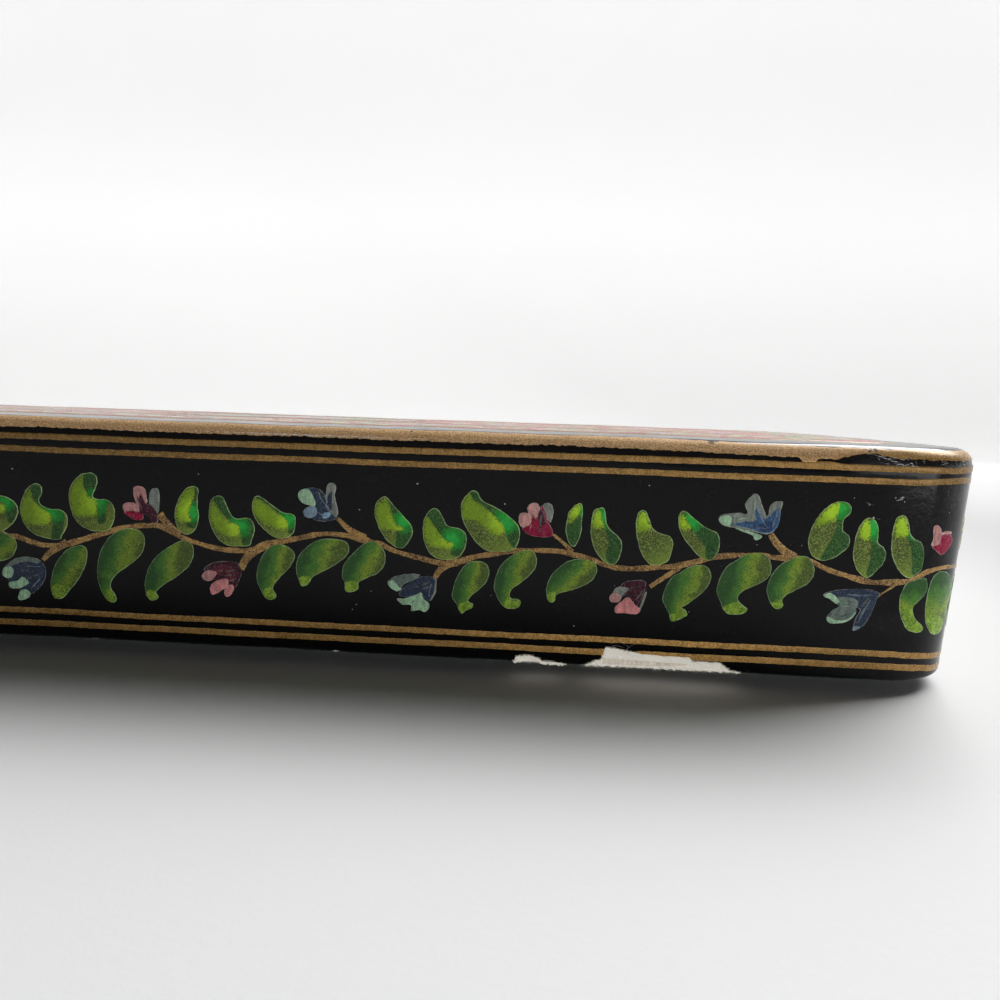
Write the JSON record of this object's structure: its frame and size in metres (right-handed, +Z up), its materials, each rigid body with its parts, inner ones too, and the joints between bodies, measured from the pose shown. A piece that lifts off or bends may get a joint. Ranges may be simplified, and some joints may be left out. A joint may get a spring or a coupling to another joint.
{
  "type": "papier mache box",
  "caption": "Shallow oblong papier-mache box with a deep lift-off lid, black lacquer ground, and a painted vine border round its side.",
  "frame": {"origin": "middle of the face the box stands on (underside of the foot felt)", "axes": "+X along the length, +Y towards the back wall, +Z up out of the lid"},
  "size_m": [0.1998, 0.0778, 0.0321],
  "materials": {
    "lid_paper_board": "matte",
    "lid_paper_wall": "matte",
    "tray_paper_board": "matte",
    "tray_paper_wall": "matte",
    "black_lacquer": "gloss",
    "lining_paper": "matte",
    "felt": "matte"
  },
  "bodies": {
    "tray": {"tray_floor_board": "tray_paper_board", "tray_wall": "tray_paper_wall", "tray_coat": "black_lacquer", "tray_floor_lining": "lining_paper", "tray_wall_lining": "lining_paper", "tray_foot_felt": "felt"},
    "lid": {"lid_top_board": "lid_paper_board", "lid_wall": "lid_paper_wall", "lid_coat": "black_lacquer", "lid_ceiling_lining": "lining_paper", "lid_wall_lining": "lining_paper"}
  },
  "joints": [
    {"name": "lid_lift", "type": "slide", "parent": "tray", "child": "lid", "axis": [0, 0, 1], "range_m": [0, 0.06]}
  ]
}
